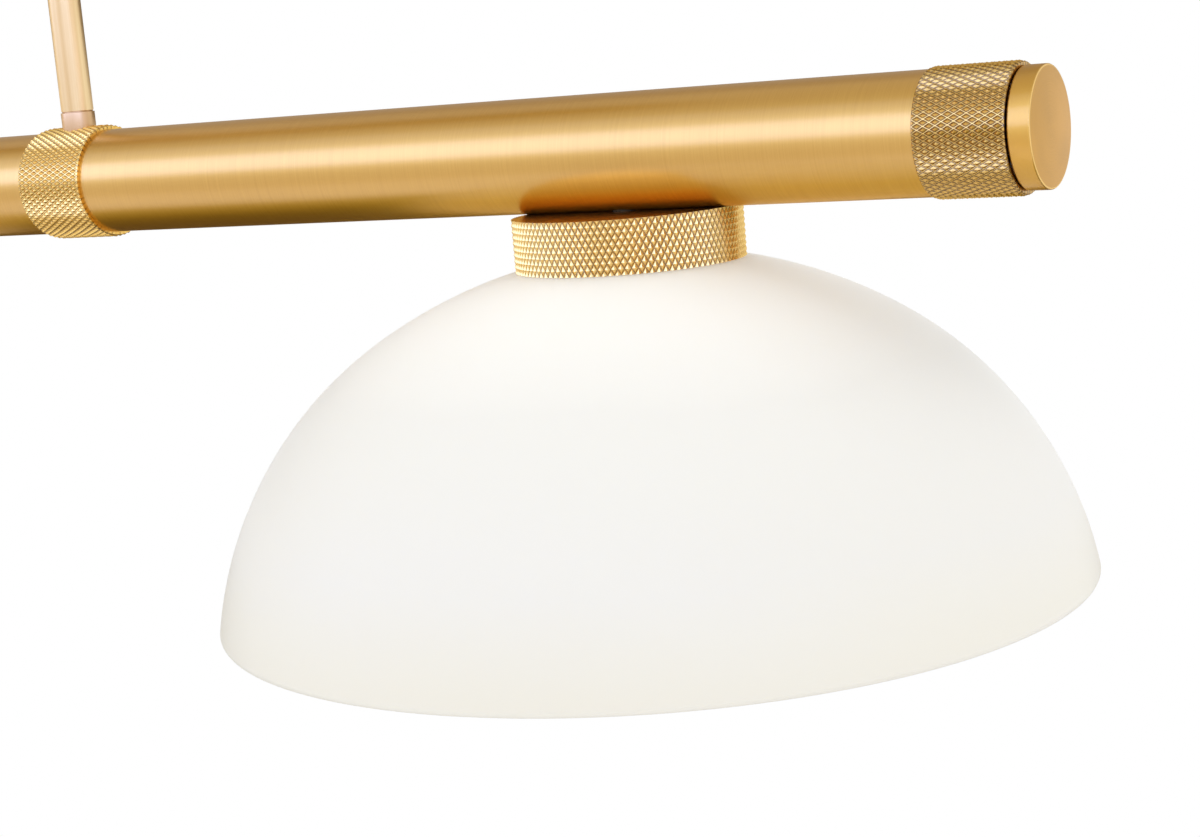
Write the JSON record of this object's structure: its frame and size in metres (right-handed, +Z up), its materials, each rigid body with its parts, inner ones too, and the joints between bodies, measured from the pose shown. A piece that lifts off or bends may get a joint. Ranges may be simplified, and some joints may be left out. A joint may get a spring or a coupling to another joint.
{
  "type": "linear island pendant",
  "caption": "Linear pendant: satin brass bar on down rods under a long ceiling canopy, with opal glass half-dome shades hung below, open downward.",
  "frame": {"origin": "centre of the canopy's open face, on the ceiling", "axes": "+Z up into the ceiling, X along the bar, Y across it"},
  "size_m": [1.4241, 0.304, 0.6952],
  "materials": {
    "satin_brass": "satin",
    "opal_glass": "satin",
    "socket_plastic": "matte",
    "ring_plastic": "matte",
    "gasket_rubber": "matte",
    "nickel_shell": "polished",
    "contact_brass": "polished",
    "contact_insulator": "gloss",
    "frosted_bulb": "satin",
    "plated_steel": "satin",
    "turned_aluminium": "satin",
    "green_screw": "satin"
  },
  "bodies": {
    "ceiling_plate": {"canopy": "satin_brass", "crossbar": "plated_steel", "canopy_studs": "plated_steel", "canopy_cap_nuts": "satin_brass", "ground_screw": "green_screw", "swivel_cups": "satin_brass", "swivel_nipples": "plated_steel", "swivel_lock_nuts": "plated_steel"},
    "bar": {"swivel_ball_left": "satin_brass", "swivel_ball_right": "satin_brass", "rod_upper_left": "satin_brass", "rod_upper_right": "satin_brass", "rod_joints": "satin_brass", "rod_lower_left": "satin_brass", "rod_lower_right": "satin_brass", "rod_ferrule_left": "satin_brass", "rod_ferrule_right": "satin_brass", "rod_sleeve_left": "satin_brass", "rod_sleeve_right": "satin_brass", "main_tube": "satin_brass", "end_collar_left": "satin_brass", "end_collar_right": "satin_brass", "end_cap_left": "satin_brass", "end_cap_right": "satin_brass", "end_plugs": "turned_aluminium", "stem_nipples": "plated_steel", "light_nipples": "plated_steel", "saddle_washers": "plated_steel", "lock_nuts": "plated_steel", "fitter_cap_1": "satin_brass", "socket_1": "socket_plastic", "socket_shell_1": "nickel_shell", "socket_contact_1": "contact_brass", "fitter_cap_2": "satin_brass", "socket_2": "socket_plastic", "socket_shell_2": "nickel_shell", "socket_contact_2": "contact_brass", "fitter_cap_3": "satin_brass", "socket_3": "socket_plastic", "socket_shell_3": "nickel_shell", "socket_contact_3": "contact_brass"},
    "glass_1": {"shade_1": "opal_glass", "shade_gasket_1": "gasket_rubber"},
    "ring_1": {"shade_ring_1": "ring_plastic"},
    "bulb_tip_1": {"bulb_contact_1": "contact_insulator"},
    "bulb_1": {"bulb_base_1": "nickel_shell", "bulb_1": "frosted_bulb"},
    "glass_2": {"shade_2": "opal_glass", "shade_gasket_2": "gasket_rubber"},
    "ring_2": {"shade_ring_2": "ring_plastic"},
    "bulb_tip_2": {"bulb_contact_2": "contact_insulator"},
    "bulb_2": {"bulb_base_2": "nickel_shell", "bulb_2": "frosted_bulb"},
    "glass_3": {"shade_3": "opal_glass", "shade_gasket_3": "gasket_rubber"},
    "ring_3": {"shade_ring_3": "ring_plastic"},
    "bulb_tip_3": {"bulb_contact_3": "contact_insulator"},
    "bulb_3": {"bulb_base_3": "nickel_shell", "bulb_3": "frosted_bulb"}
  },
  "joints": [
    {"name": "swing", "type": "hinge", "parent": "ceiling_plate", "child": "bar", "pos_m": [0, 0, -0.039], "axis": [1, 0, 0], "range_deg": [-25, 25]},
    {"name": "shade_1_drop", "type": "slide", "parent": "bar", "child": "glass_1", "axis": [0, 0, -1], "range_m": [0, 0.018]},
    {"name": "ring_1_turn", "type": "hinge", "parent": "glass_1", "child": "ring_1", "pos_m": [-0.56, 0, -0.589], "axis": [0, 0, -1], "range_deg": [0, 2161]},
    {"name": "bulb_1_drop", "type": "slide", "parent": "bar", "child": "bulb_tip_1", "axis": [0, 0, -1], "range_m": [0, 0.02177]},
    {"name": "bulb_1_turn", "type": "hinge", "parent": "bulb_tip_1", "child": "bulb_1", "pos_m": [-0.56, 0, -0.603], "axis": [0, 0, -1], "range_deg": [0, 2161]},
    {"name": "shade_2_drop", "type": "slide", "parent": "bar", "child": "glass_2", "axis": [0, 0, -1], "range_m": [0, 0.018]},
    {"name": "ring_2_turn", "type": "hinge", "parent": "glass_2", "child": "ring_2", "pos_m": [0, 0, -0.589], "axis": [0, 0, -1], "range_deg": [0, 2161]},
    {"name": "bulb_2_drop", "type": "slide", "parent": "bar", "child": "bulb_tip_2", "axis": [0, 0, -1], "range_m": [0, 0.02177]},
    {"name": "bulb_2_turn", "type": "hinge", "parent": "bulb_tip_2", "child": "bulb_2", "pos_m": [0, 0, -0.603], "axis": [0, 0, -1], "range_deg": [0, 2161]},
    {"name": "shade_3_drop", "type": "slide", "parent": "bar", "child": "glass_3", "axis": [0, 0, -1], "range_m": [0, 0.018]},
    {"name": "ring_3_turn", "type": "hinge", "parent": "glass_3", "child": "ring_3", "pos_m": [0.56, 0, -0.589], "axis": [0, 0, -1], "range_deg": [0, 2161]},
    {"name": "bulb_3_drop", "type": "slide", "parent": "bar", "child": "bulb_tip_3", "axis": [0, 0, -1], "range_m": [0, 0.02177]},
    {"name": "bulb_3_turn", "type": "hinge", "parent": "bulb_tip_3", "child": "bulb_3", "pos_m": [0.56, 0, -0.603], "axis": [0, 0, -1], "range_deg": [0, 2161]}
  ],
  "couplings": [
    {"joint": "ring_1_turn", "follows": "shade_1_drop", "rad_per_m": 2094.4},
    {"joint": "bulb_1_turn", "follows": "bulb_1_drop", "rad_per_m": 1731.4},
    {"joint": "ring_2_turn", "follows": "shade_2_drop", "rad_per_m": 2094.4},
    {"joint": "bulb_2_turn", "follows": "bulb_2_drop", "rad_per_m": 1731.4},
    {"joint": "ring_3_turn", "follows": "shade_3_drop", "rad_per_m": 2094.4},
    {"joint": "bulb_3_turn", "follows": "bulb_3_drop", "rad_per_m": 1731.4}
  ]
}
